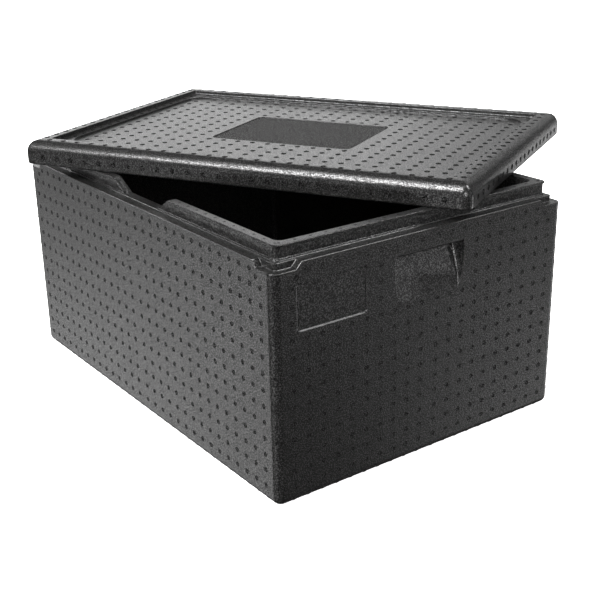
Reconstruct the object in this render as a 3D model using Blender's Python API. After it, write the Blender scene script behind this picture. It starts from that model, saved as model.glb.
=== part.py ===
"""Insulated food carrier: a moulded foam box with a loose lid laid askew on its rim.

Metres, +Z up. The origin is the centre of the box's underside, and +X runs along its
long side. Each piece is a loft through level rounded rectangles, so that one list of
sections gives its whole wall, rim and floor. The local cuts are Boolean cutters.
"""

import math

import bmesh
import bpy
from mathutils import Vector

MM = 0.001

# Box body, outside
BODY_LENGTH = 685 * MM
BODY_WIDTH = 485 * MM
LEDGE_HEIGHT = 314 * MM
BODY_CORNER_RADIUS = 12 * MM
BODY_FOOT_RADIUS = 10 * MM
LEDGE_EDGE_RADIUS = 1.5 * MM

# Raised lip inside the ledge. The nose is a small bead round the top of its outer face.
LIP_TOP = 333.3 * MM
LIP_FOOT_INSET = 16.75 * MM
LIP_NOSE_INSET = 15.6 * MM
LIP_NOSE_HEIGHT = 4.5 * MM
LIP_CORNER_RADIUS = 5 * MM
LIP_INNER_BEVEL = 2 * MM

# Food compartment
WALL = 30 * MM
FLOOR = 33 * MM
COMPARTMENT_RADIUS = 6 * MM
COMPARTMENT_FLOOR_RADIUS = 8 * MM

# Cuts in the ledge at the four corners
NOTCH_FLOOR = 305 * MM
NOTCH_DEPTH = 11 * MM
NOTCH_REACH = 34.5 * MM
NOTCH_REACH_TOP = 42.5 * MM

# Gaps in the lip at the middle of each long side
LIP_GAP_FLOOR = 315 * MM
LIP_GAP_WIDTH = 92 * MM
LIP_GAP_WIDTH_TOP = 160 * MM

# Grip pocket in each end: it deepens from nothing at the bottom to its ceiling
GRIP_BOTTOM = 224.5 * MM
GRIP_CEILING = 285.5 * MM
GRIP_DEPTH = 20 * MM
GRIP_WIDTH_TOP = 117 * MM
GRIP_WIDTH_BOTTOM = 91 * MM
GRIP_SIDE_DRAFT = 5.5 * MM

# Shallow label field beside each grip
LABEL_CENTRE = -155.25 * MM
LABEL_WIDTH = 105.5 * MM
LABEL_BOTTOM = 227 * MM
LABEL_TOP = 287.5 * MM
LABEL_DEPTH = 2.2 * MM
LABEL_RADIUS = 4 * MM

# Lid, outside
LID_LENGTH = 690 * MM
LID_WIDTH = 485 * MM
LID_THICKNESS = 35 * MM
LID_CORNER_RADIUS = 12 * MM
LID_TOP_RADIUS = 18 * MM
LID_SKIRT_RADIUS = 3 * MM

# Groove in the lid's underside for the lip, measured in from the box's outline
LID_GROOVE_OUTER = 15 * MM
LID_GROOVE_INNER = 31 * MM
LID_GROOVE_DEPTH = 20 * MM
LID_GROOVE_CORNER_RADIUS = 4 * MM
LID_MOUTH_BEVEL = 1.5 * MM

# Recess in the lid's top: a sloping wall, a narrow ledge, a small step and the field
RECESS_INSET = 29.5 * MM
RECESS_WALL_RUN = 2.5 * MM
RECESS_DEPTH = 6.6 * MM
RECESS_CORNER_RADIUS = 3 * MM
FIELD_INSET = 42 * MM
FIELD_STEP_RUN = 1.5 * MM
FIELD_DEPTH = 9.7 * MM
FIELD_CORNER_RADIUS = 40 * MM

# Smooth panel in the middle of the field
PANEL_LENGTH = 230 * MM
PANEL_WIDTH = 168 * MM
PANEL_DEPTH = 1.2 * MM
PANEL_RADIUS = 10 * MM

# Where the lid lies: flat on the lip, turned and shifted, held clear by a hair
CONTACT_GAP = 0.3 * MM
LID_CENTRE_X = -48.7 * MM
LID_CENTRE_Y = 86.1 * MM
LID_YAW = math.radians(28.7)

ARC_STEPS = 5
FILLET_STEPS = 4
GRIP_EDGE_STEPS = 6
CUT_CLEARANCE = 6 * MM


def clear_scene():
    """Remove whatever the scene holds, so that the model starts from nothing."""
    for scene_object in list(bpy.data.objects):
        bpy.data.objects.remove(scene_object, do_unlink=True)


def new_collection(name):
    """Make an empty collection in the scene."""
    collection = bpy.data.collections.new(name)
    bpy.context.scene.collection.children.link(collection)
    return collection


def foam_material(name, grey, roughness):
    """Matt black moulded foam."""
    material = bpy.data.materials.new(name)
    material.use_nodes = True
    shader = material.node_tree.nodes["Principled BSDF"]
    shader.inputs["Base Color"].default_value = (grey, grey, grey, 1)
    shader.inputs["Roughness"].default_value = roughness
    shader.inputs["Metallic"].default_value = 0
    return material


def object_from_bmesh(name, mesh_builder, collection):
    """Close a bmesh into a named object with its faces pointing out."""
    bmesh.ops.recalc_face_normals(mesh_builder, faces=mesh_builder.faces)
    mesh = bpy.data.meshes.new(name)
    mesh_builder.to_mesh(mesh)
    mesh_builder.free()
    made = bpy.data.objects.new(name, mesh)
    collection.objects.link(made)
    return made


def rounded_rectangle(half_x, half_y, radius, height):
    """Points of one level rounded rectangle, counter-clockwise from +X."""
    points = []
    for quarter, (side_x, side_y) in enumerate(((1, 1), (-1, 1), (-1, -1), (1, -1))):
        centre = Vector((side_x * (half_x - radius), side_y * (half_y - radius), height))
        for step in range(ARC_STEPS + 1):
            angle = (quarter + step / ARC_STEPS) * math.pi / 2
            points.append(centre + radius * Vector((math.cos(angle), math.sin(angle), 0)))
    return points


def loft(name, rings, collection):
    """Close a solid over rings of points, each joined to the next, with flat ends."""
    solid = bmesh.new()
    loops = [[solid.verts.new(point) for point in ring] for ring in rings]
    for near, far in zip(loops, loops[1:]):
        for index in range(len(near)):
            after = (index + 1) % len(near)
            solid.faces.new((near[index], near[after], far[after], far[index]))
    solid.faces.new(loops[0])
    solid.faces.new(loops[-1])
    return object_from_bmesh(name, solid, collection)


def fillet(inset, radius, height, corner_radius, turn):
    """Sections of an outer fillet. turn is "up" at a foot and "in" at a top edge.

    The corner radius in plan shrinks with the inset, so that the corner stays a
    smooth blend, and stops at a twelfth of the fillet's own radius.
    """
    sections = []
    for step in range(FILLET_STEPS + 1):
        angle = step / FILLET_STEPS * math.pi / 2
        if turn == "up":
            run = radius * (1 - math.sin(angle))
            rise = radius * (1 - math.cos(angle))
        else:
            run = radius * (1 - math.cos(angle))
            rise = radius * math.sin(angle)
        plan_radius = max(corner_radius - run, radius / 12)
        sections.append((inset + run, plan_radius, height + rise))
    return sections


def body_sections():
    """Inset, corner radius and height of each ring, from the underside to the floor."""
    edge = LEDGE_EDGE_RADIUS
    nose_bottom = LIP_TOP - LIP_NOSE_HEIGHT
    nose_round = LIP_NOSE_HEIGHT / 4
    bevel = LIP_INNER_BEVEL
    floor_radius = COMPARTMENT_FLOOR_RADIUS
    sections = fillet(0, BODY_FOOT_RADIUS, 0, BODY_CORNER_RADIUS, "up")
    sections += [
        (0, BODY_CORNER_RADIUS, LEDGE_HEIGHT - edge),
        (edge, BODY_CORNER_RADIUS - edge, LEDGE_HEIGHT),
        (LIP_FOOT_INSET, LIP_CORNER_RADIUS, LEDGE_HEIGHT),
        (LIP_FOOT_INSET, LIP_CORNER_RADIUS, nose_bottom),
        (LIP_NOSE_INSET, LIP_CORNER_RADIUS, nose_bottom + nose_round),
        (LIP_NOSE_INSET, LIP_CORNER_RADIUS, LIP_TOP - nose_round),
        (LIP_NOSE_INSET + nose_round, LIP_CORNER_RADIUS, LIP_TOP),
        (WALL - bevel, COMPARTMENT_RADIUS, LIP_TOP),
        (WALL, COMPARTMENT_RADIUS, LIP_TOP - bevel),
    ]
    for step in range(FILLET_STEPS + 1):
        angle = step / FILLET_STEPS * math.pi / 2
        run = floor_radius * (1 - math.cos(angle))
        drop = floor_radius * math.sin(angle)
        plan_radius = max(COMPARTMENT_RADIUS - run, floor_radius / 12)
        sections.append((WALL + run, plan_radius, FLOOR + floor_radius - drop))
    return sections


def groove_sections():
    """The lid's rings from the plug's underside, up and down the groove to the skirt."""
    mouth = LID_MOUTH_BEVEL
    radius = LID_GROOVE_CORNER_RADIUS
    return [
        (LID_GROOVE_INNER + mouth, radius, 0),
        (LID_GROOVE_INNER, radius, mouth),
        (LID_GROOVE_INNER, radius, LID_GROOVE_DEPTH),
        (LID_GROOVE_OUTER, radius, LID_GROOVE_DEPTH),
        (LID_GROOVE_OUTER, radius, mouth),
        (LID_GROOVE_OUTER - mouth, radius, 0),
    ]


def top_sections():
    """The lid's rings from the skirt, out over the top and in to the field."""
    ledge_height = LID_THICKNESS - RECESS_DEPTH
    field_height = LID_THICKNESS - FIELD_DEPTH
    sections = fillet(0, LID_SKIRT_RADIUS, 0, LID_CORNER_RADIUS, "up")
    sections += fillet(0, LID_TOP_RADIUS, LID_THICKNESS - LID_TOP_RADIUS, LID_CORNER_RADIUS, "in")
    sections += [
        (RECESS_INSET, RECESS_CORNER_RADIUS, LID_THICKNESS),
        (RECESS_INSET + RECESS_WALL_RUN, RECESS_CORNER_RADIUS, ledge_height),
        (FIELD_INSET, FIELD_CORNER_RADIUS, ledge_height),
        (FIELD_INSET + FIELD_STEP_RUN, FIELD_CORNER_RADIUS, field_height),
    ]
    return sections


def section_rings(length, width, sections):
    """Turn inset sections of one outline into rings of points."""
    return [
        rounded_rectangle(length / 2 - inset, width / 2 - inset, radius, height)
        for inset, radius, height in sections
    ]


def panel_rings():
    """The rim and the floor of the smooth panel in the lid's field."""
    field_height = LID_THICKNESS - FIELD_DEPTH
    return [
        rounded_rectangle(PANEL_LENGTH / 2, PANEL_WIDTH / 2, PANEL_RADIUS, height)
        for height in (field_height, field_height - PANEL_DEPTH)
    ]


def place_cutter(cutter, location, turn):
    """Put a cutter where it cuts, drawn as wire and left out of renders."""
    cutter.location = location
    cutter.rotation_euler = (0, 0, turn)
    cutter.hide_render = True
    cutter.display_type = "WIRE"


def add_notch_cutters(collection):
    """Four corner cuts in the ledge: an L in plan whose two ends slope outwards."""
    slope = (NOTCH_REACH_TOP - NOTCH_REACH) / (LEDGE_HEIGHT - NOTCH_FLOOR)
    top = LEDGE_HEIGHT + CUT_CLEARANCE / 2
    rings = []
    for height in (NOTCH_FLOOR, top):
        reach = NOTCH_REACH + slope * (height - NOTCH_FLOOR)
        outline = (
            (CUT_CLEARANCE, CUT_CLEARANCE),
            (-reach, CUT_CLEARANCE),
            (-reach, -NOTCH_DEPTH),
            (-NOTCH_DEPTH, -NOTCH_DEPTH),
            (-NOTCH_DEPTH, -reach),
            (CUT_CLEARANCE, -reach),
        )
        rings.append([(x, y, height) for x, y in outline])
    for quarter, (side_x, side_y) in enumerate(((1, 1), (-1, 1), (-1, -1), (1, -1))):
        cutter = loft(f"notch_cutter_{quarter + 1}", rings, collection)
        corner = (side_x * BODY_LENGTH / 2, side_y * BODY_WIDTH / 2, 0)
        place_cutter(cutter, corner, quarter * math.pi / 2)


def add_lip_gap_cutters(collection):
    """A tapered block through the lip at the middle of each long side."""
    slope = (LIP_GAP_WIDTH_TOP - LIP_GAP_WIDTH) / (LIP_TOP - LIP_GAP_FLOOR)
    outer = LIP_NOSE_INSET - CUT_CLEARANCE / 2
    inner = WALL + CUT_CLEARANCE
    for side, turn in ((1, 0), (-1, math.pi)):
        rings = []
        for height in (LIP_GAP_FLOOR, LIP_TOP + CUT_CLEARANCE):
            half = (LIP_GAP_WIDTH + slope * (height - LIP_GAP_FLOOR)) / 2
            outline = ((half, -inner), (half, -outer), (-half, -outer), (-half, -inner))
            rings.append([(x, y, height) for x, y in outline])
        cutter = loft(f"lip_gap_cutter_{'back' if side > 0 else 'front'}", rings, collection)
        place_cutter(cutter, (0, side * BODY_WIDTH / 2, 0), turn)


def grip_outline(outset):
    """The grip's mouth in Y and Z, at a distance out from the end face.

    Each side is a quarter ellipse: upright at the ceiling, and turning in to the
    bottom edge. It runs a little past the bottom, where the sloping back cuts it off.
    """
    widen = GRIP_SIDE_DRAFT / GRIP_DEPTH * outset
    narrowing = (GRIP_WIDTH_TOP - GRIP_WIDTH_BOTTOM) / 2
    drop = GRIP_CEILING - GRIP_BOTTOM + CUT_CLEARANCE / 3
    right = []
    for step in range(GRIP_EDGE_STEPS + 1):
        angle = step / GRIP_EDGE_STEPS * math.pi / 2
        half = GRIP_WIDTH_TOP / 2 - narrowing * (1 - math.cos(angle)) + widen
        right.append((half, GRIP_CEILING - drop * math.sin(angle)))
    left = [(-across, height) for across, height in reversed(right)]
    return right + left


def add_grip_cutters(collection):
    """The grip pockets: a drafted block whose back is cut to a slope."""
    slope_back = Vector((0, 0, GRIP_BOTTOM))
    slope_normal = Vector((-(GRIP_CEILING - GRIP_BOTTOM), 0, -GRIP_DEPTH))
    for side, turn in ((1, 0), (-1, math.pi)):
        rings = []
        for outset in (CUT_CLEARANCE, -GRIP_DEPTH - CUT_CLEARANCE):
            rings.append([(outset, across, height) for across, height in grip_outline(outset)])
        cutter = loft(f"grip_cutter_{'right' if side > 0 else 'left'}", rings, collection)
        solid = bmesh.new()
        solid.from_mesh(cutter.data)
        geometry = list(solid.verts) + list(solid.edges) + list(solid.faces)
        cut = bmesh.ops.bisect_plane(
            solid, geom=geometry, plane_co=slope_back, plane_no=slope_normal, clear_outer=True
        )
        rim = [item for item in cut["geom_cut"] if isinstance(item, bmesh.types.BMEdge)]
        bmesh.ops.contextual_create(solid, geom=rim)
        bmesh.ops.recalc_face_normals(solid, faces=solid.faces)
        solid.to_mesh(cutter.data)
        solid.free()
        place_cutter(cutter, (side * BODY_LENGTH / 2, 0, 0), turn)


def add_label_cutters(collection):
    """The shallow label field on each end face, left of the grip as one looks at it."""
    middle = (LABEL_BOTTOM + LABEL_TOP) / 2
    for side, turn in ((1, 0), (-1, math.pi)):
        rings = []
        for outset in (CUT_CLEARANCE, -LABEL_DEPTH):
            flat = rounded_rectangle(LABEL_WIDTH / 2, (LABEL_TOP - LABEL_BOTTOM) / 2, LABEL_RADIUS, 0)
            rings.append([(outset, LABEL_CENTRE + point.x, middle + point.y) for point in flat])
        cutter = loft(f"label_cutter_{'right' if side > 0 else 'left'}", rings, collection)
        place_cutter(cutter, (side * BODY_LENGTH / 2, 0, 0), turn)


def make_box_body(parts, cutters):
    """The foam box: one moulding with its ledge, lip and compartment."""
    body = loft("box_body", section_rings(BODY_LENGTH, BODY_WIDTH, body_sections()), parts)
    add_notch_cutters(cutters)
    add_lip_gap_cutters(cutters)
    add_grip_cutters(cutters)
    add_label_cutters(cutters)
    cut = body.modifiers.new("cuts", "BOOLEAN")
    cut.operand_type = "COLLECTION"
    cut.collection = cutters
    cut.operation = "DIFFERENCE"
    cut.solver = "EXACT"
    body.data.materials.append(foam_material("box_foam", 0.022, 0.55))
    return body


def make_lid(parts):
    """The loose lid, lying across the lip where it was put down."""
    rings = section_rings(BODY_LENGTH, BODY_WIDTH, groove_sections())
    rings += section_rings(LID_LENGTH, LID_WIDTH, top_sections())
    rings += panel_rings()
    lid = loft("lid", rings, parts)
    lid.location = (LID_CENTRE_X, LID_CENTRE_Y, LIP_TOP + CONTACT_GAP)
    lid.rotation_euler = (0, 0, LID_YAW)
    lid.data.materials.append(foam_material("lid_foam", 0.026, 0.5))
    return lid


def main():
    """Build the carrier."""
    clear_scene()
    parts = new_collection("insulated_food_carrier")
    cutters = new_collection("cutters")
    make_box_body(parts, cutters)
    make_lid(parts)


main()
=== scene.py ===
import math

import bmesh
import bpy
from mathutils import Matrix, Vector


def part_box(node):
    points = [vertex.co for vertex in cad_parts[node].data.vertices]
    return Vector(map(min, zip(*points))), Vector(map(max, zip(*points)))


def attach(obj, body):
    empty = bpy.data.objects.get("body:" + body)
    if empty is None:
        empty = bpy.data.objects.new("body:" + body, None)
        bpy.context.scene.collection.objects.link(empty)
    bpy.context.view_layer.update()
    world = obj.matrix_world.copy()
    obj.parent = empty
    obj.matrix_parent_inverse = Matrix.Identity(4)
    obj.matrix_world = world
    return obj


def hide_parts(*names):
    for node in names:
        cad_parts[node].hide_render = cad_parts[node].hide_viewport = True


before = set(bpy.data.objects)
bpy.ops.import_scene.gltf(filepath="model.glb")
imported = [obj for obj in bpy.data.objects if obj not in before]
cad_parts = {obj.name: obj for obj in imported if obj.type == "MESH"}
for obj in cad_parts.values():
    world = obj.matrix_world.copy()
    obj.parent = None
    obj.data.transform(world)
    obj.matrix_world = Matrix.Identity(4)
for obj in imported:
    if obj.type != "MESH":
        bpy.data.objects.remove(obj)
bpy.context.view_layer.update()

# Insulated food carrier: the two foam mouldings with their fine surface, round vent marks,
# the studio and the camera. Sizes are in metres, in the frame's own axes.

MM = 0.001

# Places taken from the frame
HALF_LENGTH, HALF_WIDTH, LIP_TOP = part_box("box_body")[1]
LID_LOW, LID_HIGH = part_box("lid")
LID_CENTRE = (LID_LOW + LID_HIGH) / 2
LID_THICKNESS = LID_HIGH.z - LID_LOW.z
LID_YAW = math.radians(28.7)
LID_SPOT = Matrix.Translation((LID_CENTRE.x, LID_CENTRE.y, LID_LOW.z))
LID_PLACE = LID_SPOT @ Matrix.Rotation(LID_YAW, 4, "Z")

# Box body. A size of two numbers is measured inwards, then up or down.
BODY_CORNER_RADIUS = 12 * MM
BODY_FOOT_RADIUS = 10 * MM
LEDGE_HEIGHT = 314 * MM
LIP_FOOT_INSET = 16 * MM
LIP_FOOT_HEIGHT = 2.3 * MM
LIP_FACE_INSET = 17.4 * MM
LIP_NOSE_INSET = 15.6 * MM
LIP_NOSE_DROP = 4.5 * MM
LIP_NOSE_RISE = 1.2 * MM
LIP_OUTER_ROUND = 1.3 * MM
LIP_INNER_ROUND = 1.8 * MM
LIP_FOOT_ROUND = (0.8 * MM, 0.9 * MM)
LIP_FACE_FOOT_RISE = 0.6 * MM
LIP_CORNER_RADIUS = 8 * MM
WALL = 30 * MM
FLOOR = 33 * MM
COMPARTMENT_RADIUS = 10 * MM
COMPARTMENT_FLOOR_RADIUS = 8 * MM
BOX_EDGE_ROUNDING = 0.9 * MM

# Cuts in the ledge and the lip
NOTCH_FLOOR = 305 * MM
NOTCH_DEPTH = 11 * MM
NOTCH_REACH = 34.5 * MM
NOTCH_REACH_TOP = 42.5 * MM
NOTCH_INNER_RADIUS = 4 * MM
LIP_GAP_FLOOR = 315 * MM
LIP_GAP_WIDTH = 92 * MM
LIP_GAP_WIDTH_TOP = 160 * MM

# Grip pockets and label fields in the ends
GRIP_BOTTOM = 224.5 * MM
GRIP_CEILING = 285.5 * MM
GRIP_DEPTH = 20 * MM
GRIP_WIDTH_TOP = 117 * MM
GRIP_WIDTH_BOTTOM = 91 * MM
GRIP_SIDE_DRAFT = 5.5 * MM
GRIP_FILLET = 5 * MM
GRIP_BROW_RADIUS = 3.5 * MM
GRIP_TOP_CORNER = 3 * MM
GRIP_SIDE_RUN_OUT = 2 * MM
LABEL_CENTRE = -155.25 * MM
LABEL_WIDTH = 105.5 * MM
LABEL_BOTTOM = 227 * MM
LABEL_TOP = 287.5 * MM
LABEL_DEPTH = 2.2 * MM
LABEL_RADIUS = 4 * MM

# Lid. The groove is measured in from the box's outline, and clears the lip on both sides.
LID_HALF_LENGTH = 345 * MM
LID_HALF_WIDTH = 242.5 * MM
LID_CORNER_RADIUS = 12 * MM
LID_TOP_RADIUS = 18 * MM
LID_SKIRT_RADIUS = 3 * MM
LID_CORNER_LEAST = 2 * MM
LID_EDGE_ROUNDING = 0.5 * MM
LID_GROOVE_CLEARANCE = 1 * MM
LID_GROOVE_OUTER = LIP_FOOT_INSET - LID_GROOVE_CLEARANCE
LID_GROOVE_INNER = WALL + LID_GROOVE_CLEARANCE
LID_GROOVE_DEPTH = 20 * MM
LID_GROOVE_MOUTH = 1.5 * MM
RECESS_INSET = 29.8 * MM
RECESS_DEPTH = 6.6 * MM
RECESS_CORNER_RADIUS = 3 * MM
RECESS_EDGE_ROUND = 1.3 * MM
RECESS_WALL_RUN = 0.5 * MM
RECESS_FILLET = (2.6 * MM, 2.4 * MM)
FIELD_INSET = 42 * MM
FIELD_DEPTH = 9.7 * MM
FIELD_CORNER_RADIUS = 40 * MM
FIELD_EDGE_ROUND = 0.6 * MM
FIELD_WALL_RUN = 0.4 * MM
FIELD_FILLET = (1.0 * MM, 0.9 * MM)
PANEL_LENGTH = 230 * MM
PANEL_WIDTH = 168 * MM
PANEL_DEPTH = 1.2 * MM
PANEL_RADIUS = 10 * MM
PANEL_ROUND = (0.5 * MM, 0.4 * MM)
PANEL_WALL_RUN = 0.2 * MM

# Vent marks: radius, how far the rim stands proud, and how deep the root goes
MARK_RADIUS = 3.7 * MM
LID_MARK_RADIUS = 4.2 * MM
LIP_MARK_RADIUS = 2.2 * MM
WALL_MARK = (MARK_RADIUS, 0.28 * MM, 0.4 * MM)
CORNER_MARK = (2.9 * MM, 0.3 * MM, 0.9 * MM)
FOOT_MARK = (2.8 * MM, 0.3 * MM, 0.9 * MM)
LIP_MARK = (LIP_MARK_RADIUS, 0.15 * MM, 0.3 * MM)
FIELD_MARK = (LID_MARK_RADIUS, 0.28 * MM, 0.4 * MM)
BORDER_MARK = (LID_MARK_RADIUS, 0.25 * MM, 0.7 * MM)
LEDGE_MARK = (3.4 * MM, 0.25 * MM, 0.4 * MM)
LID_SIDE_MARK = (LID_MARK_RADIUS, 0.28 * MM, 0.4 * MM)
MARK_CLEARANCE = 1.5 * MM

# Vent marks: where the rows and columns of each face run
BODY_ROW_FIRST = 22.5 * MM
BODY_ROW_PITCH = 21.7 * MM
BODY_ROWS = 13
BODY_ROW_TOP = 302.5 * MM
SIDE_COLUMN_FIRST = 12.7 * MM
SIDE_COLUMN_PITCH = 21.75 * MM
SIDE_COLUMNS = 15
END_COLUMN_FIRST = 13 * MM
END_COLUMN_PITCH = 22.55 * MM
END_COLUMNS = 10
CORNER_MARK_INSET = 34 * MM
CORNER_MARK_HEIGHT = 295 * MM
LID_COLUMN_FIRST = 12.4 * MM
LID_COLUMN_PITCH = 24.85 * MM
LID_ROW_PITCH = 23.35 * MM
LID_FIELD_COLUMNS = 12
LID_FIELD_ROWS = 8
LID_LEDGE_MARK_INSET = 36.5 * MM
LID_BORDER_MARK_INSET = 20 * MM
LID_SIDE_MARK_HEIGHT = 12 * MM

# Material slots of the shells, after the skin's
EDGE_SLOT = 1
PANEL_SLOT = 2

# How finely curves are cut up, and how far a cutter reaches past the surface
ARC_STEPS = 10
NOTCH_STEPS = 6
GRIP_CORNER_STEPS = 4
GRIP_SIDE_STEPS = 14
GRIP_BROW_STEPS = 5
GRIP_FILLET_STEPS = 6
MARK_SIDES = 12
CUT_CLEARANCE = 6 * MM

# The foam's surface: beads and grains to the metre, then the noise levels where the glossy
# tops and the bright glints begin and are full. A glint scales the grey from dark to bright:
# its colour is a painted glint on the grain's tops and painted shade in its creases.
BEAD_SCALE = 310
BEAD_SMOOTHNESS = 0.25
GRAIN_SCALE = 660
TOP_START, TOP_FULL = 0.45, 0.56
GLINT_START, GLINT_FULL = 0.50, 0.61
GLINT_DARK, GLINT_BRIGHT = 0.3, 4.0
TOP_ROUGHNESS_SHARE = 0.6
COAT_ROUGHNESS = 0.13

# Finishes: grey, dull roughness, sheen, shine, and the relief of the beads and of the grain
SKIN_FINISH = (0.009, 0.50, 0.15, 1.0, 0.06 * MM, 0.14 * MM)
EDGE_FINISH = (0.009, 0.30, 0.50, 1.0, 0.04 * MM, 0.10 * MM)
PANEL_FINISH = (0.016, 0.90, 0.10, 0.05, 0.05 * MM, 0.15 * MM)
# The box's vent marks are rough, and their darker grey than the skin's is painted shade for the
# vents' pits.
BOX_MARK_FINISH = (0.006, 0.95, 0.20, 0.05, 0.05 * MM, 0.10 * MM)
LID_MARK_FINISH = (0.008, 0.95, 0.05, 0.02, 0.05 * MM, 0.10 * MM)

# Camera
CAMERA_PLACE = (1.29282, -0.88532, 0.71756)
CAMERA_AZIMUTH = math.radians(54.357)
CAMERA_ELEVATION = math.radians(21.072)
CAMERA_ROLL = math.radians(-1.093)
CAMERA_LENS = 64.73

# Lights in the sky: direction, full and outer half-angles in degrees, and strength. The
# TABLE ones stand for light that a pale table throws up from below.
BACK_OVERHEAD = ((0.32, 0.50, 0.80), 8, 20, 11.0)
FRONT_SOFTBOX = ((0.00, -0.70, 0.71), 5, 18, 32.0)
FRONT_SOFTBOX_TOP = ((-0.10, -0.42, 0.90), 5, 14, 9.0)
CAMERA_SIDE = ((0.85, -0.50, 0.28), 8, 22, 8.5)
WALL_LEFT = ((-0.88, 0.43, 0.19), 8, 22, 1.5)
WALL_MIDDLE = ((-0.55, 0.80, 0.22), 8, 22, 0.55)
WALL_RIGHT = ((0.75, 0.64, 0.16), 6, 16, 1.5)
WINDOW_LEFT = ((-0.86, -0.27, 0.43), 4, 12, 6.0)
TABLE_LEFT_FAR = ((-0.90, -0.36, -0.22), 8, 22, 0.5)
TABLE_LEFT_NEAR = ((-0.70, -0.46, -0.54), 8, 22, 1.4)
TABLE_FRONT = ((0.16, -0.95, -0.27), 10, 28, 1.1)
TABLE_RIGHT_FAR = ((0.80, 0.54, -0.24), 4, 11, 0.9)
TABLE_RIGHT_NEAR = ((0.50, 0.75, -0.44), 6, 13, 1.4)
TABLE_BACK = ((0.20, 0.92, -0.33), 5, 12, 3.0)
TABLE_BACK_LEFT = ((-0.36, 0.92, -0.15), 3, 13, 1.2)
SKY_LOBES = (
    BACK_OVERHEAD, FRONT_SOFTBOX, FRONT_SOFTBOX_TOP, CAMERA_SIDE,
    WALL_LEFT, WALL_MIDDLE, WALL_RIGHT, WINDOW_LEFT,
    TABLE_LEFT_FAR, TABLE_LEFT_NEAR, TABLE_FRONT, TABLE_RIGHT_FAR, TABLE_RIGHT_NEAR,
    TABLE_BACK, TABLE_BACK_LEFT,
)
SKY_BASE = 0.04
FLOOR_GLOW = 1.0
FLOOR_SIZE = 60


# ---------------------------------------------------------------- mesh helpers

def object_from_bmesh(name, solid):
    """Turn a closed bmesh into a named object, with every face turned outwards."""
    bmesh.ops.recalc_face_normals(solid, faces=solid.faces)
    mesh = bpy.data.meshes.new(name)
    solid.to_mesh(mesh)
    solid.free()
    made = bpy.data.objects.new(name, mesh)
    bpy.context.scene.collection.objects.link(made)
    return made


def rounded_rectangle(half_x, half_y, radius, height):
    """Points of one level rounded rectangle, counter-clockwise from +X."""
    points = []
    for corner, (side_x, side_y) in enumerate(((1, 1), (-1, 1), (-1, -1), (1, -1))):
        centre = Vector((side_x * (half_x - radius), side_y * (half_y - radius), height))
        for step in range(ARC_STEPS + 1):
            angle = (corner + step / ARC_STEPS) * math.pi / 2
            points.append(centre + radius * Vector((math.cos(angle), math.sin(angle), 0)))
    return points


def loft(name, rings):
    """Close a solid over rings of points, each joined to the next, with flat ends."""
    solid = bmesh.new()
    loops = [[solid.verts.new(point) for point in ring] for ring in rings]
    for near, far in zip(loops, loops[1:]):
        for index in range(len(near)):
            after = (index + 1) % len(near)
            solid.faces.new((near[index], near[after], far[after], far[index]))
    solid.faces.new(loops[0])
    solid.faces.new(loops[-1])
    return object_from_bmesh(name, solid)


def quarter(start, end, steps, leaves):
    """Inset and height along a quarter of an ellipse, after its start point.

    leaves is "upright" or "level": the direction in which the curve leaves start.
    """
    points = []
    for step in range(1, steps + 1):
        angle = step / steps * math.pi / 2
        slow = 1 - math.cos(angle)
        fast = math.sin(angle)
        share_in, share_up = (slow, fast) if leaves == "upright" else (fast, slow)
        inset = start[0] + (end[0] - start[0]) * share_in
        height = start[1] + (end[1] - start[1]) * share_up
        points.append((inset, height))
    return points


def rings_of(profile, half_length, half_width, plan_radius):
    """Turn a profile of insets and heights into rounded rectangles."""
    return [
        rounded_rectangle(half_length - inset, half_width - inset, plan_radius(inset), height)
        for inset, height in profile
    ]


def evaluated_copy(made, name):
    """Apply an object's modifiers and drop the original."""
    bpy.context.view_layer.update()
    depsgraph = bpy.context.evaluated_depsgraph_get()
    mesh = bpy.data.meshes.new_from_object(made.evaluated_get(depsgraph))
    mesh.name = name
    bpy.data.objects.remove(made, do_unlink=True)
    copy = bpy.data.objects.new(name, mesh)
    bpy.context.scene.collection.objects.link(copy)
    return copy


def round_edges(made, width):
    """Round the sharp edges a little, with their own polish, and keep flat faces flat."""
    bevel = made.modifiers.new("edge_rounding", "BEVEL")
    bevel.width = width
    bevel.segments = 3
    bevel.material = EDGE_SLOT
    bevel.limit_method = "ANGLE"
    bevel.angle_limit = math.radians(35)
    bevel.use_clamp_overlap = False
    made.data.shade_smooth()
    weighted = made.modifiers.new("flat_faces", "WEIGHTED_NORMAL")
    weighted.keep_sharp = False
    weighted.weight = 100


# ------------------------------------------------------------------- box body

def body_profile():
    """Inset and height from the underside, up the wall, over the lip and down to the floor."""
    foot = BODY_FOOT_RADIUS
    step_top = LEDGE_HEIGHT + LIP_FOOT_HEIGHT
    step_in, step_down = LIP_FOOT_ROUND
    nose_height = LIP_TOP - LIP_NOSE_DROP
    floor_radius = COMPARTMENT_FLOOR_RADIUS
    profile = [(foot, 0)]
    profile += quarter(profile[-1], (0, foot), 8, "level")
    profile += [(0, LEDGE_HEIGHT), (LIP_FOOT_INSET, LEDGE_HEIGHT)]
    profile += [(LIP_FOOT_INSET, step_top - step_down)]
    profile += quarter(profile[-1], (LIP_FOOT_INSET + step_in, step_top), 3, "upright")
    profile += quarter(profile[-1], (LIP_FACE_INSET, step_top + LIP_FACE_FOOT_RISE), 3, "level")
    profile += [(LIP_FACE_INSET, nose_height)]
    profile += quarter(profile[-1], (LIP_NOSE_INSET, nose_height + LIP_NOSE_RISE), 3, "upright")
    profile += [(LIP_NOSE_INSET, LIP_TOP - LIP_OUTER_ROUND)]
    profile += quarter(profile[-1], (LIP_NOSE_INSET + LIP_OUTER_ROUND, LIP_TOP), 4, "upright")
    profile += [(WALL - LIP_INNER_ROUND, LIP_TOP)]
    profile += quarter(profile[-1], (WALL, LIP_TOP - LIP_INNER_ROUND), 4, "level")
    profile += [(WALL, FLOOR + floor_radius)]
    profile += quarter(profile[-1], (WALL + floor_radius, FLOOR), 6, "upright")
    return profile


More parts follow.
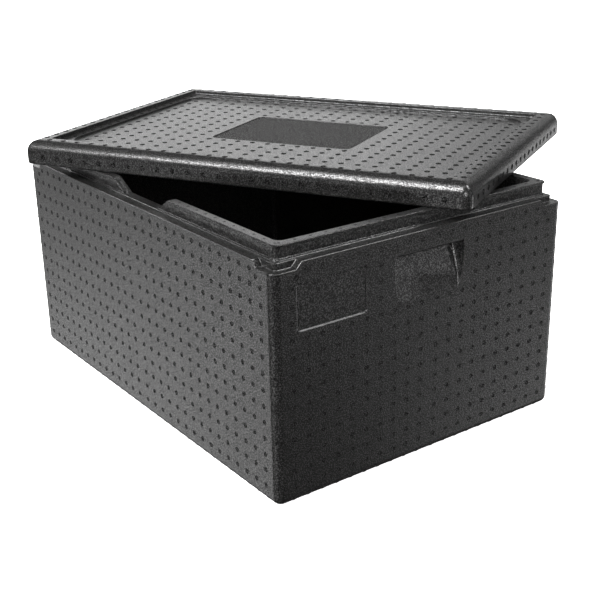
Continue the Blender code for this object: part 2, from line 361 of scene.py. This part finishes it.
def body_plan_radius(inset):
    """Corner radius in plan: the wall's, the lip's outside, then the compartment's."""
    if inset < BODY_CORNER_RADIUS:
        return BODY_CORNER_RADIUS - inset
    if inset < (LIP_FOOT_INSET + WALL) / 2:
        return LIP_CORNER_RADIUS + LIP_FOOT_INSET - inset
    return COMPARTMENT_RADIUS + WALL - inset


def notch_cutter(corner):
    """The L-shaped corner cut in the ledge, whose two ends slope outwards."""
    slope = (NOTCH_REACH_TOP - NOTCH_REACH) / (LEDGE_HEIGHT - NOTCH_FLOOR)
    rings = []
    for height in (NOTCH_FLOOR, LEDGE_HEIGHT + CUT_CLEARANCE / 2):
        reach = NOTCH_REACH + slope * (height - NOTCH_FLOOR)
        outline = [(CUT_CLEARANCE, CUT_CLEARANCE), (-reach, CUT_CLEARANCE), (-reach, -NOTCH_DEPTH)]
        centre = -NOTCH_DEPTH - NOTCH_INNER_RADIUS
        for step in range(NOTCH_STEPS + 1):
            angle = math.pi / 2 * (1 - step / NOTCH_STEPS)
            outline.append((
                centre + NOTCH_INNER_RADIUS * math.cos(angle),
                centre + NOTCH_INNER_RADIUS * math.sin(angle),
            ))
        outline += [(-NOTCH_DEPTH, -reach), (CUT_CLEARANCE, -reach)]
        rings.append([(x, y, height) for x, y in outline])
    side_x, side_y = ((1, 1), (-1, 1), (-1, -1), (1, -1))[corner]
    cutter = loft("notch_cutter", rings)
    cutter.location = (side_x * HALF_LENGTH, side_y * HALF_WIDTH, 0)
    cutter.rotation_euler.z = corner * math.pi / 2
    return cutter


def lip_gap_cutter(side):
    """A block with sloping ends through the lip, at the middle of a long side."""
    slope = (LIP_GAP_WIDTH_TOP - LIP_GAP_WIDTH) / (LIP_TOP - LIP_GAP_FLOOR)
    outer = LIP_NOSE_INSET - CUT_CLEARANCE / 2
    inner = WALL + CUT_CLEARANCE
    rings = []
    for height in (LIP_GAP_FLOOR, LIP_TOP + CUT_CLEARANCE):
        half = (LIP_GAP_WIDTH + slope * (height - LIP_GAP_FLOOR)) / 2
        outline = ((half, -inner), (half, -outer), (-half, -outer), (-half, -inner))
        rings.append([(x, y, height) for x, y in outline])
    cutter = loft("lip_gap_cutter", rings)
    cutter.location = (0, side * HALF_WIDTH, 0)
    cutter.rotation_euler.z = 0 if side > 0 else math.pi
    return cutter


def grip_outline(outset):
    """The grip's mouth in Y and Z at a distance out from the end face.

    Each side is a quarter ellipse that turns in to the bottom edge and runs out just below
    it. Near the face the ceiling rises in a quarter round, the soft brow over the pocket.
    """
    widen = GRIP_SIDE_DRAFT / GRIP_DEPTH * outset
    narrowing = (GRIP_WIDTH_TOP - GRIP_WIDTH_BOTTOM) / 2
    buried = min(max(-outset / GRIP_BROW_RADIUS, 0), 1)
    brow = GRIP_BROW_RADIUS * (1 - math.sqrt(1 - (1 - buried) ** 2))
    ceiling = GRIP_CEILING + brow
    drop = GRIP_CEILING - GRIP_BOTTOM + GRIP_SIDE_RUN_OUT
    half_top = GRIP_WIDTH_TOP / 2 + widen
    right = []
    for step in range(GRIP_CORNER_STEPS + 1):
        angle = math.pi / 2 * (1 - step / GRIP_CORNER_STEPS)
        right.append((
            half_top - GRIP_TOP_CORNER * (1 - math.cos(angle)),
            ceiling - GRIP_TOP_CORNER * (1 - math.sin(angle)),
        ))
    for step in range(1, GRIP_SIDE_STEPS + 1):
        angle = math.pi / 2 * step / GRIP_SIDE_STEPS
        height = ceiling - GRIP_TOP_CORNER - (drop + brow - GRIP_TOP_CORNER) * math.sin(angle)
        right.append((half_top - narrowing * (1 - math.cos(angle)), height))
    return right + [(-across, height) for across, height in reversed(right)]


def grip_cutter(side):
    """The grip pocket: a drafted block whose back is cut to a slope, with a fillet round it."""
    outsets = [CUT_CLEARANCE]
    for step in range(GRIP_BROW_STEPS + 1):
        angle = math.pi / 2 * step / GRIP_BROW_STEPS
        outsets.append(-GRIP_BROW_RADIUS * (1 - math.cos(angle)))
    outsets.append(-GRIP_DEPTH - 2 * CUT_CLEARANCE)
    rings = [
        [(outset, across, height) for across, height in grip_outline(outset)]
        for outset in outsets
    ]
    cutter = loft("grip_cutter", rings)
    solid = bmesh.new()
    solid.from_mesh(cutter.data)
    cut = bmesh.ops.bisect_plane(
        solid,
        geom=list(solid.verts) + list(solid.edges) + list(solid.faces),
        plane_co=(0, 0, GRIP_BOTTOM),
        plane_no=(GRIP_BOTTOM - GRIP_CEILING, 0, -GRIP_DEPTH),
        clear_outer=True,
    )
    rim = [item for item in cut["geom_cut"] if isinstance(item, bmesh.types.BMEdge)]
    bmesh.ops.contextual_create(solid, geom=rim)
    bmesh.ops.recalc_face_normals(solid, faces=solid.faces)
    shallow = GRIP_BROW_RADIUS + GRIP_SIDE_RUN_OUT
    deep = [edge for edge in rim if max(vert.co.x for vert in edge.verts) < -shallow]
    bmesh.ops.bevel(
        solid,
        geom=deep,
        offset=GRIP_FILLET,
        segments=GRIP_FILLET_STEPS,
        profile=0.5,
        affect="EDGES",
        clamp_overlap=False,
    )
    solid.to_mesh(cutter.data)
    solid.free()
    cutter.location = (side * HALF_LENGTH, 0, 0)
    cutter.rotation_euler.z = 0 if side > 0 else math.pi
    return cutter


def label_cutter(side):
    """The shallow label field on an end face, left of the grip as one looks at it."""
    middle = (LABEL_BOTTOM + LABEL_TOP) / 2
    rings = []
    for outset in (CUT_CLEARANCE, -LABEL_DEPTH):
        flat = rounded_rectangle(LABEL_WIDTH / 2, (LABEL_TOP - LABEL_BOTTOM) / 2, LABEL_RADIUS, 0)
        rings.append([(outset, LABEL_CENTRE + point.x, middle + point.y) for point in flat])
    cutter = loft("label_cutter", rings)
    cutter.location = (side * HALF_LENGTH, 0, 0)
    cutter.rotation_euler.z = 0 if side > 0 else math.pi
    return cutter


def make_box_shell():
    """The foam box with all its cuts and rounded edges."""
    rings = rings_of(body_profile(), HALF_LENGTH, HALF_WIDTH, body_plan_radius)
    shell = loft("box_shell_uncut", rings)
    cutters = [notch_cutter(corner) for corner in range(4)]
    for side in (1, -1):
        cutters += [lip_gap_cutter(side), grip_cutter(side), label_cutter(side)]
    collection = bpy.data.collections.new("cutters")
    for cutter in cutters:
        collection.objects.link(cutter)
    cut = shell.modifiers.new("cuts", "BOOLEAN")
    cut.operand_type = "COLLECTION"
    cut.collection = collection
    cut.solver = "EXACT"
    shell = evaluated_copy(shell, "box_shell")
    for cutter in cutters:
        bpy.data.objects.remove(cutter, do_unlink=True)
    bpy.data.collections.remove(collection)
    round_edges(shell, BOX_EDGE_ROUNDING)
    return shell


# ------------------------------------------------------------------------ lid

def groove_profile():
    """Inset and height from the plug's underside, up and down the groove for the lip."""
    mouth = LID_GROOVE_MOUTH
    profile = [(LID_GROOVE_INNER + mouth, 0)]
    profile += quarter(profile[-1], (LID_GROOVE_INNER, mouth), 3, "level")
    profile += [
        (LID_GROOVE_INNER, LID_GROOVE_DEPTH),
        (LID_GROOVE_OUTER, LID_GROOVE_DEPTH),
        (LID_GROOVE_OUTER, mouth),
    ]
    profile += quarter(profile[-1], (LID_GROOVE_OUTER - mouth, 0), 3, "upright")
    return profile


def lid_profile():
    """Inset and height from the skirt's foot, out over the top and in to the field."""
    skirt = LID_SKIRT_RADIUS
    top = LID_TOP_RADIUS
    ledge = LID_THICKNESS - RECESS_DEPTH
    field = LID_THICKNESS - FIELD_DEPTH
    profile = [(skirt, 0)]
    profile += quarter(profile[-1], (0, skirt), 4, "level")
    profile += [(0, LID_THICKNESS - top)]
    profile += quarter(profile[-1], (top, LID_THICKNESS), 10, "upright")
    profile += [(RECESS_INSET - RECESS_EDGE_ROUND, LID_THICKNESS)]
    profile += quarter(profile[-1], (RECESS_INSET, LID_THICKNESS - RECESS_EDGE_ROUND), 4, "level")
    wall_foot = RECESS_INSET + RECESS_WALL_RUN
    fillet_in, fillet_up = RECESS_FILLET
    profile += [(wall_foot, ledge + fillet_up)]
    profile += quarter(profile[-1], (wall_foot + fillet_in, ledge), 5, "upright")
    profile += [(FIELD_INSET - FIELD_EDGE_ROUND, ledge)]
    profile += quarter(profile[-1], (FIELD_INSET, ledge - FIELD_EDGE_ROUND), 3, "level")
    wall_foot = FIELD_INSET + FIELD_WALL_RUN
    fillet_in, fillet_up = FIELD_FILLET
    profile += [(wall_foot, field + fillet_up)]
    profile += quarter(profile[-1], (wall_foot + fillet_in, field), 3, "upright")
    return profile


def groove_plan_radius(inset):
    """Corner radius in plan: the plug's, a little tighter, then the groove's outer wall's."""
    if inset > LID_GROOVE_OUTER:
        return LIP_CORNER_RADIUS - LID_GROOVE_CLEARANCE
    return LIP_CORNER_RADIUS


def lid_plan_radius(inset):
    """Corner radius in plan: the lid's outside, its recess and its field."""
    if inset < (LID_CORNER_RADIUS + LID_TOP_RADIUS) / 2:
        return max(LID_CORNER_RADIUS - inset, LID_CORNER_LEAST)
    if inset > (RECESS_INSET + FIELD_INSET) / 2:
        return FIELD_CORNER_RADIUS + FIELD_INSET - inset
    return RECESS_CORNER_RADIUS


def panel_rings():
    """The smooth panel's rim, rounded edge and floor."""
    field = LID_THICKNESS - FIELD_DEPTH
    round_in, round_down = PANEL_ROUND
    wall_foot = round_in + PANEL_WALL_RUN
    profile = [(0, field)]
    profile += quarter(profile[-1], (round_in, field - round_down), 2, "level")
    profile += [(wall_foot, field - PANEL_DEPTH + round_down)]
    profile += quarter(profile[-1], (wall_foot + round_in, field - PANEL_DEPTH), 2, "upright")
    return rings_of(profile, PANEL_LENGTH / 2, PANEL_WIDTH / 2, lambda inset: PANEL_RADIUS - inset)


def make_lid_shell():
    """The loose lid, where it lies."""
    rings = rings_of(groove_profile(), HALF_LENGTH, HALF_WIDTH, groove_plan_radius)
    rings += rings_of(lid_profile(), LID_HALF_LENGTH, LID_HALF_WIDTH, lid_plan_radius)
    shell = loft("lid_shell", rings + panel_rings())
    shell.data.polygons[-1].material_index = PANEL_SLOT
    shell.data.transform(LID_PLACE)
    round_edges(shell, LID_EDGE_ROUNDING)
    return shell


# ----------------------------------------------------------------- vent marks

def mark_rings(radius, rise, root):
    """Radius and height of each ring of one mark: a low rim round a shallow dish."""
    return [
        (0.60 * radius, 0.2 * rise),
        (0.76 * radius, rise),
        (0.93 * radius, 0.85 * rise),
        (radius, -root),
    ]


def add_mark(verts, faces, place, rings):
    """Add one closed vent mark to lists of vertices and faces."""
    first = len(verts)
    for radius, height in rings:
        for side in range(MARK_SIDES):
            angle = 2 * math.pi * side / MARK_SIDES
            local = Vector((radius * math.cos(angle), radius * math.sin(angle), height))
            verts.append(place @ local)
    faces.append([first + side for side in range(MARK_SIDES)])
    for ring in range(len(rings) - 1):
        near = first + ring * MARK_SIDES
        far = near + MARK_SIDES
        for side in range(MARK_SIDES):
            after = (side + 1) % MARK_SIDES
            faces.append((near + side, far + side, far + after, near + after))
    last = first + (len(rings) - 1) * MARK_SIDES
    faces.append([last + side for side in reversed(range(MARK_SIDES))])


def make_marks(name, groups, placing):
    """One piece of many vent marks. A group is a list of points and normals, and a mark's size."""
    verts = []
    faces = []
    for spots, size in groups:
        rings = mark_rings(*size)
        for point, normal in spots:
            turn = Vector(normal).to_track_quat("Z", "Y").to_matrix().to_4x4()
            add_mark(verts, faces, placing @ Matrix.Translation(point) @ turn, rings)
    mesh = bpy.data.meshes.new(name)
    mesh.from_pydata(verts, [], faces)
    mesh.shade_smooth()
    mesh.set_sharp_from_angle(angle=math.radians(50))
    made = bpy.data.objects.new(name, mesh)
    bpy.context.scene.collection.objects.link(made)
    return made


def body_rows():
    """Heights of the rows of marks on the box's walls."""
    return [BODY_ROW_FIRST + BODY_ROW_PITCH * row for row in range(BODY_ROWS)] + [BODY_ROW_TOP]


def both_signs(first, pitch, count):
    """Positions on both sides of the middle."""
    return [sign * (first + pitch * index) for sign in (-1, 1) for index in range(count)]


def side_spots(side):
    """Marks on a long side. The top corner ones are moved to clear the notch."""
    spots = []
    for x in both_signs(SIDE_COLUMN_FIRST, SIDE_COLUMN_PITCH, SIDE_COLUMNS):
        for z in body_rows():
            spot = (x, z)
            if z == BODY_ROW_TOP and abs(x) > HALF_LENGTH - NOTCH_REACH_TOP:
                spot = (math.copysign(HALF_LENGTH - CORNER_MARK_INSET, x), CORNER_MARK_HEIGHT)
            spots.append(((spot[0], side * HALF_WIDTH, spot[1]), (0, side, 0)))
    return spots


def end_spots(side):
    """Marks on an end face, round the label field and the grip."""
    margin = MARK_RADIUS + MARK_CLEARANCE
    spots = []
    for y in both_signs(END_COLUMN_FIRST, END_COLUMN_PITCH, END_COLUMNS):
        for z in body_rows():
            across, height = y, z
            if z == BODY_ROW_TOP and abs(y) > HALF_WIDTH - NOTCH_REACH_TOP:
                across, height = math.copysign(HALF_WIDTH - CORNER_MARK_INSET, y), CORNER_MARK_HEIGHT
            in_label = (
                abs(across - LABEL_CENTRE) < LABEL_WIDTH / 2 + margin
                and LABEL_BOTTOM - margin < height < LABEL_TOP + margin
            )
            in_grip = (
                abs(across) < GRIP_WIDTH_TOP / 2 + margin
                and GRIP_BOTTOM - margin < height < GRIP_CEILING + margin
            )
            if not in_label and not in_grip:
                spots.append(((side * HALF_LENGTH, side * across, height), (side, 0, 0)))
    return spots


def corner_spots():
    """Marks up the rounded vertical edges."""
    spots = []
    lean = math.sqrt(0.5)
    for side_x in (-1, 1):
        for side_y in (-1, 1):
            x = side_x * (HALF_LENGTH - BODY_CORNER_RADIUS * (1 - lean))
            y = side_y * (HALF_WIDTH - BODY_CORNER_RADIUS * (1 - lean))
            for z in body_rows()[:-1]:
                spots.append(((x, y, z), (side_x, side_y, 0)))
    return spots


def foot_spots():
    """Marks along the rounded bottom edge."""
    inset = BODY_FOOT_RADIUS * (1 - math.sqrt(0.5))
    spots = []
    for side in (-1, 1):
        for x in both_signs(SIDE_COLUMN_FIRST, SIDE_COLUMN_PITCH, SIDE_COLUMNS):
            spots.append(((x, side * (HALF_WIDTH - inset), inset), (0, side, -1)))
        for y in both_signs(END_COLUMN_FIRST, END_COLUMN_PITCH, END_COLUMNS):
            spots.append(((side * (HALF_LENGTH - inset), y, inset), (side, 0, -1)))
    return spots


def lip_spots():
    """Small marks along the middle of the lip's top."""
    inset = (LIP_NOSE_INSET + WALL) / 2
    gap = LIP_GAP_WIDTH_TOP / 2 + LIP_MARK_RADIUS + MARK_CLEARANCE
    spots = []
    for side in (-1, 1):
        for x in both_signs(SIDE_COLUMN_FIRST, SIDE_COLUMN_PITCH, SIDE_COLUMNS):
            if abs(x) > gap:
                spots.append(((x, side * (HALF_WIDTH - inset), LIP_TOP), (0, 0, 1)))
        for y in both_signs(END_COLUMN_FIRST, END_COLUMN_PITCH, END_COLUMNS):
            spots.append(((side * (HALF_LENGTH - inset), y, LIP_TOP), (0, 0, 1)))
    return spots


def make_box_marks():
    """All the vent marks on the box."""
    walls = side_spots(1) + side_spots(-1) + end_spots(1) + end_spots(-1)
    groups = [
        (walls, WALL_MARK),
        (corner_spots(), CORNER_MARK),
        (foot_spots(), FOOT_MARK),
        (lip_spots(), LIP_MARK),
    ]
    return make_marks("box_vent_marks", groups, Matrix.Identity(4))


def ring_spots(inset, columns, rows, height):
    """Marks round a level rectangle on the lid, set in from its outline."""
    half_length = LID_HALF_LENGTH - inset
    half_width = LID_HALF_WIDTH - inset
    spots = []
    for side in (-1, 1):
        for x in both_signs(LID_COLUMN_FIRST, LID_COLUMN_PITCH, columns):
            spots.append(((x, side * half_width, height), (0, 0, 1)))
        for row in range(-rows, rows + 1):
            spots.append(((side * half_length, row * LID_ROW_PITCH, height), (0, 0, 1)))
    return spots


def field_spots():
    """Marks over the lid's field, left out of the smooth panel and the rounded corners."""
    height = LID_THICKNESS - FIELD_DEPTH
    margin = LID_MARK_RADIUS + MARK_CLEARANCE
    spots = []
    for x in both_signs(LID_COLUMN_FIRST, LID_COLUMN_PITCH, LID_FIELD_COLUMNS):
        for row in range(-LID_FIELD_ROWS, LID_FIELD_ROWS + 1):
            y = row * LID_ROW_PITCH
            in_panel = abs(x) < PANEL_LENGTH / 2 + margin and abs(y) < PANEL_WIDTH / 2 + margin
            over_x = max(abs(x) - (LID_HALF_LENGTH - FIELD_INSET - FIELD_CORNER_RADIUS), 0)
            over_y = max(abs(y) - (LID_HALF_WIDTH - FIELD_INSET - FIELD_CORNER_RADIUS), 0)
            in_corner = math.hypot(over_x, over_y) > FIELD_CORNER_RADIUS - margin
            if not in_panel and not in_corner:
                spots.append(((x, y, height), (0, 0, 1)))
    return spots


def lid_side_spots():
    """Marks round the lid's sides, one row of them."""
    height = LID_SIDE_MARK_HEIGHT
    spots = []
    for side in (-1, 1):
        for x in both_signs(LID_COLUMN_FIRST, LID_COLUMN_PITCH, LID_FIELD_COLUMNS + 1):
            spots.append(((x, side * LID_HALF_WIDTH, height), (0, side, 0)))
        for row in range(-LID_FIELD_ROWS - 1, LID_FIELD_ROWS + 2):
            spots.append(((side * LID_HALF_LENGTH, row * LID_ROW_PITCH, height), (side, 0, 0)))
    return spots


def make_lid_marks():
    """All the vent marks on the lid."""
    columns = LID_FIELD_COLUMNS
    rows = LID_FIELD_ROWS
    ledge = ring_spots(LID_LEDGE_MARK_INSET, columns, rows, LID_THICKNESS - RECESS_DEPTH)
    border = ring_spots(LID_BORDER_MARK_INSET, columns + 1, rows + 1, LID_THICKNESS)
    groups = [
        (field_spots(), FIELD_MARK),
        (border, BORDER_MARK),
        (ledge, LEDGE_MARK),
        (lid_side_spots(), LID_SIDE_MARK),
    ]
    return make_marks("lid_vent_marks", groups, LID_PLACE)


# ------------------------------------------------------------------ materials

def node_of(tree, kind, **values):
    """Add a shader node and set its plain properties."""
    made = tree.nodes.new(kind)
    for key, value in values.items():
        setattr(made, key, value)
    return made


def remap(tree, source, from_min, from_max, to_min, to_max):
    """Map one value range onto another, held at its ends."""
    made = node_of(tree, "ShaderNodeMapRange")
    made.inputs["From Min"].default_value = from_min
    made.inputs["From Max"].default_value = from_max
    made.inputs["To Min"].default_value = to_min
    made.inputs["To Max"].default_value = to_max
    tree.links.new(source, made.inputs["Value"])
    return made.outputs["Result"]


def foam_material(name, grey, dull_roughness, sheen, shine, bead_relief, grain_relief):
    """Moulded bead foam: glossy bead tops that touched the mould, with dull creases between.

    grey is the foam's own colour; painted glints make it lighter on the tops and painted shade
    darker in the creases.
    sheen is the specular level all over and shine how glossy the tops are. The reliefs are
    the depths of the creases between the beads and of the fine grain on them.
    """
    material = bpy.data.materials.new(name)
    material.use_nodes = True
    tree = material.node_tree
    shader = tree.nodes["Principled BSDF"]
    where = node_of(tree, "ShaderNodeTexCoord").outputs["Object"]

    beads = node_of(tree, "ShaderNodeTexVoronoi", feature="SMOOTH_F1")
    beads.inputs["Scale"].default_value = BEAD_SCALE
    beads.inputs["Smoothness"].default_value = BEAD_SMOOTHNESS
    tree.links.new(where, beads.inputs["Vector"])

    grain = node_of(tree, "ShaderNodeTexNoise")
    grain.inputs["Scale"].default_value = GRAIN_SCALE
    grain.inputs["Detail"].default_value = 2
    grain.inputs["Roughness"].default_value = 0.5
    grain.inputs["Distortion"].default_value = 0.5
    tree.links.new(where, grain.inputs["Vector"])
    roughness = (dull_roughness, dull_roughness * TOP_ROUGHNESS_SHARE)
    top = remap(tree, grain.outputs["Fac"], TOP_START, TOP_FULL, 0, 1)
    glint = remap(tree, grain.outputs["Fac"], GLINT_START, GLINT_FULL, GLINT_DARK, GLINT_BRIGHT)

    bead_bump = node_of(tree, "ShaderNodeBump", invert=True)
    bead_bump.inputs["Distance"].default_value = bead_relief
    tree.links.new(beads.outputs["Distance"], bead_bump.inputs["Height"])
    grain_bump = node_of(tree, "ShaderNodeBump")
    grain_bump.inputs["Distance"].default_value = grain_relief
    tree.links.new(grain.outputs["Fac"], grain_bump.inputs["Height"])
    tree.links.new(bead_bump.outputs["Normal"], grain_bump.inputs["Normal"])
    tree.links.new(grain_bump.outputs["Normal"], shader.inputs["Normal"])
    tree.links.new(grain_bump.outputs["Normal"], shader.inputs["Coat Normal"])

    # Base colour: the grey scaled by the glint, painted glints on the grain's tops and painted shade
    # in its creases
    painted_glint_and_shade = node_of(tree, "ShaderNodeVectorMath", operation="SCALE")
    painted_glint_and_shade.inputs[0].default_value = (grey, grey * 0.99, grey * 0.98)
    tree.links.new(glint, painted_glint_and_shade.inputs["Scale"])
    tree.links.new(painted_glint_and_shade.outputs["Vector"], shader.inputs["Base Color"])
    tree.links.new(remap(tree, top, 0, 1, *roughness), shader.inputs["Roughness"])
    tree.links.new(remap(tree, top, 0, 1, 0, shine), shader.inputs["Coat Weight"])
    shader.inputs["Coat Roughness"].default_value = COAT_ROUGHNESS
    shader.inputs["Specular IOR Level"].default_value = sheen
    return material


# --------------------------------------------------------------------- studio

def make_floor():
    """A plain floor that stays white to the camera: the sky alone lights the box."""
    bpy.ops.mesh.primitive_plane_add(size=FLOOR_SIZE)
    floor = bpy.context.object
    floor.name = "studio_floor"
    material = bpy.data.materials.new("studio_white")
    material.use_nodes = True
    shader = material.node_tree.nodes["Principled BSDF"]
    shader.inputs["Base Color"].default_value = (0.9, 0.9, 0.9, 1)
    shader.inputs["Roughness"].default_value = 0.9
    shader.inputs["Specular IOR Level"].default_value = 0
    shader.inputs["Emission Color"].default_value = (1, 1, 1, 1)
    shader.inputs["Emission Strength"].default_value = FLOOR_GLOW
    floor.data.materials.append(material)
    floor.visible_glossy = False
    floor.visible_diffuse = False
    floor.visible_shadow = False


def add_lobe(tree, total, direction, inner, outer, strength):
    """Add a soft-edged disc of light to the sky: full inside one angle, none past the other."""
    incoming = tree.nodes["sky_direction"].outputs["Vector"]
    dot = node_of(tree, "ShaderNodeVectorMath", operation="DOT_PRODUCT")
    dot.inputs[1].default_value = Vector(direction).normalized()
    tree.links.new(incoming, dot.inputs[0])
    falloff = node_of(tree, "ShaderNodeMapRange", interpolation_type="SMOOTHSTEP")
    falloff.inputs["From Min"].default_value = math.cos(math.radians(outer))
    falloff.inputs["From Max"].default_value = math.cos(math.radians(inner))
    falloff.inputs["To Max"].default_value = strength
    tree.links.new(dot.outputs["Value"], falloff.inputs["Value"])
    sum_node = node_of(tree, "ShaderNodeMath", operation="ADD")
    tree.links.new(total, sum_node.inputs[0])
    tree.links.new(falloff.outputs["Result"], sum_node.inputs[1])
    return sum_node.outputs["Value"]


def make_sky():
    """Soft studio light: broad lights above and pale walls round a dark corner."""
    world = bpy.data.worlds.new("studio")
    bpy.context.scene.world = world
    world.use_nodes = True
    tree = world.node_tree
    light = tree.nodes["Background"]
    light.inputs["Color"].default_value = (1, 1, 1, 1)
    where = node_of(tree, "ShaderNodeTexCoord")
    direction = node_of(tree, "ShaderNodeVectorMath", operation="NORMALIZE", name="sky_direction")
    tree.links.new(where.outputs["Generated"], direction.inputs[0])
    base = node_of(tree, "ShaderNodeValue")
    base.outputs[0].default_value = SKY_BASE
    total = base.outputs[0]
    for lobe in SKY_LOBES:
        total = add_lobe(tree, total, *lobe)
    tree.links.new(total, light.inputs["Strength"])
    backdrop = node_of(tree, "ShaderNodeBackground")
    backdrop.inputs["Color"].default_value = (1, 1, 1, 1)
    seen = node_of(tree, "ShaderNodeLightPath")
    pick = node_of(tree, "ShaderNodeMixShader")
    tree.links.new(seen.outputs["Is Camera Ray"], pick.inputs["Fac"])
    tree.links.new(light.outputs["Background"], pick.inputs[1])
    tree.links.new(backdrop.outputs["Background"], pick.inputs[2])
    tree.links.new(pick.outputs["Shader"], tree.nodes["World Output"].inputs["Surface"])


def make_camera():
    """The camera, high and to the right of the near corner."""
    back = Vector((
        math.sin(CAMERA_AZIMUTH) * math.cos(CAMERA_ELEVATION),
        -math.cos(CAMERA_AZIMUTH) * math.cos(CAMERA_ELEVATION),
        math.sin(CAMERA_ELEVATION),
    ))
    right = (-back).cross(Vector((0, 0, 1))).normalized()
    up = right.cross(-back)
    rolled_right = math.cos(CAMERA_ROLL) * right + math.sin(CAMERA_ROLL) * up
    rolled_up = math.cos(CAMERA_ROLL) * up - math.sin(CAMERA_ROLL) * right
    data = bpy.data.cameras.new("camera")
    data.sensor_width = 36
    data.lens = CAMERA_LENS
    data.clip_end = 200
    camera = bpy.data.objects.new("camera", data)
    bpy.context.scene.collection.objects.link(camera)
    place = Matrix((rolled_right, rolled_up, back)).transposed().to_4x4()
    place.translation = CAMERA_PLACE
    camera.matrix_world = place
    bpy.context.scene.camera = camera


# ----------------------------------------------------------------------- main

make_camera()

box_shell = make_box_shell()
box_marks = make_box_marks()
lid_shell = make_lid_shell()
lid_marks = make_lid_marks()

skin = foam_material("foam_skin", *SKIN_FINISH)
edge = foam_material("foam_edge", *EDGE_FINISH)
panel = foam_material("foam_panel", *PANEL_FINISH)
box_mark = foam_material("foam_vent_mark", *BOX_MARK_FINISH)
lid_mark = foam_material("foam_lid_vent_mark", *LID_MARK_FINISH)
for shell, marks, mark_material, body, node, slot in (
    (box_shell, box_marks, box_mark, "box", "box_body", "box_foam"),
    (lid_shell, lid_marks, lid_mark, "lid", "lid", "lid_foam"),
):
    for material in (skin, edge, panel):
        shell.data.materials.append(material)
    marks.data.materials.append(mark_material)
    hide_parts(node)
    for piece in (shell, marks):
        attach(piece, body)

make_floor()
make_sky()
bpy.context.scene.view_settings.view_transform = "Standard"
